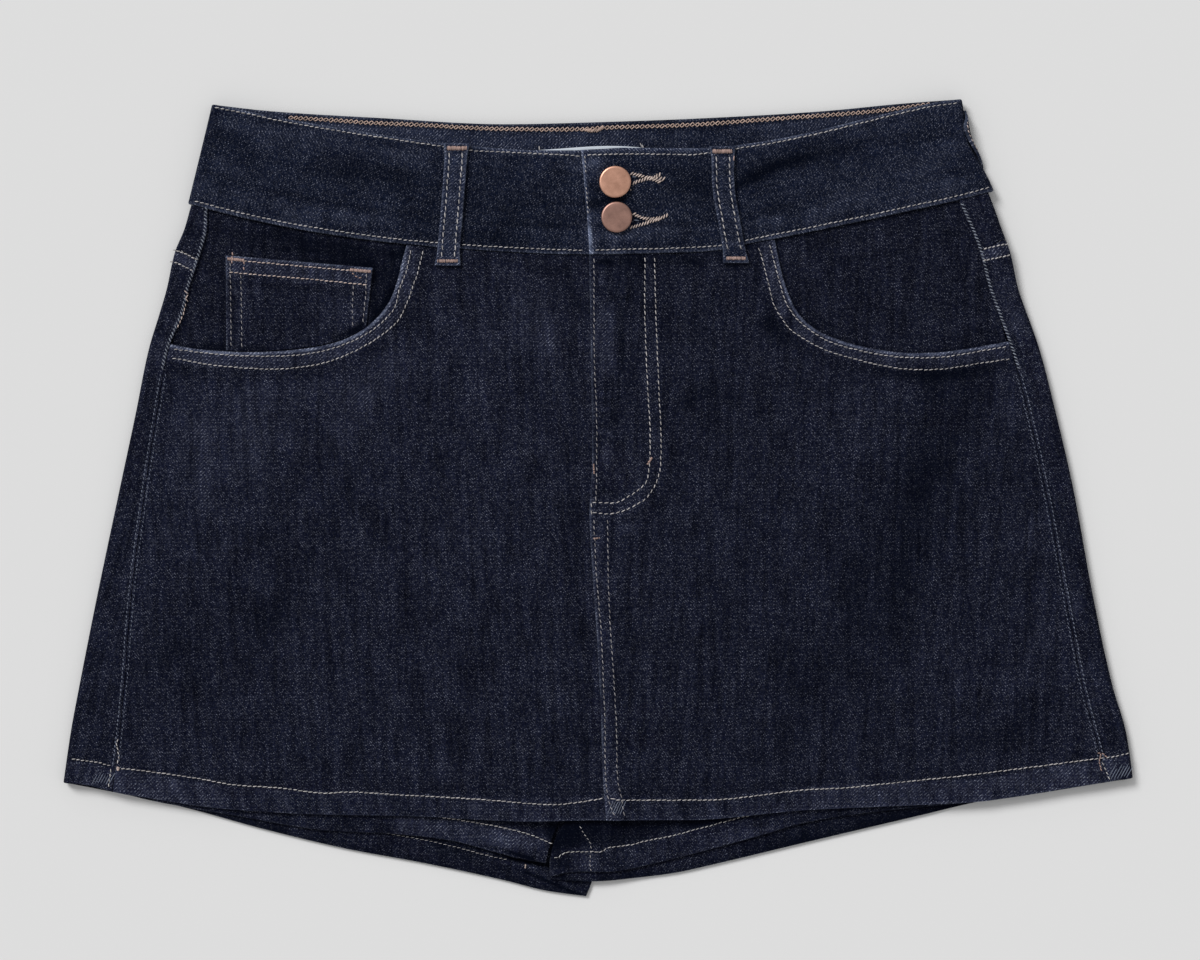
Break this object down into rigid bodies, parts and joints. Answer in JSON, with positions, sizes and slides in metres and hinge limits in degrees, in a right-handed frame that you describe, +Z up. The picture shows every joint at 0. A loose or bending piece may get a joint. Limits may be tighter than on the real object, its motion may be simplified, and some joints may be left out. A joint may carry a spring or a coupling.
{
  "type": "denim skort",
  "caption": "Short denim skort laid flat: skirt front over built-in shorts, wide buttoned waistband, belt loops, curved front pockets and a fly.",
  "frame": {"origin": "middle of the garment's outline, at the underside that rests on the surface", "axes": "+X to the wearer's left, +Y from the hem towards the waist, +Z up out of the front"},
  "size_m": [0.5674, 0.423, 0.0116],
  "materials": {
    "denim": "dark rinsed indigo twill denim with slubs and paler worn edges",
    "denim_waistband": "the same indigo denim, doubled and pressed",
    "label_satin": "white woven satin, bare",
    "copper_button": "satin antique copper plate"
  },
  "bodies": {
    "root": {"waistband": "denim_waistband", "front_right": "denim", "front_left": "denim", "pocket_facing_right": "denim", "pocket_facing_left": "denim", "coin_pocket": "denim", "yoke_right": "denim", "yoke_left": "denim", "back_right": "denim", "back_left": "denim", "shorts_front_right": "denim", "shorts_front_left": "denim", "belt_loop_front_right": "denim", "belt_loop_front_left": "denim", "belt_loop_back_right": "denim", "belt_loop_back_centre": "denim", "belt_loop_back_left": "denim", "label": "label_satin", "button_upper": "copper_button", "button_lower": "copper_button"}
  },
  "joints": []
}
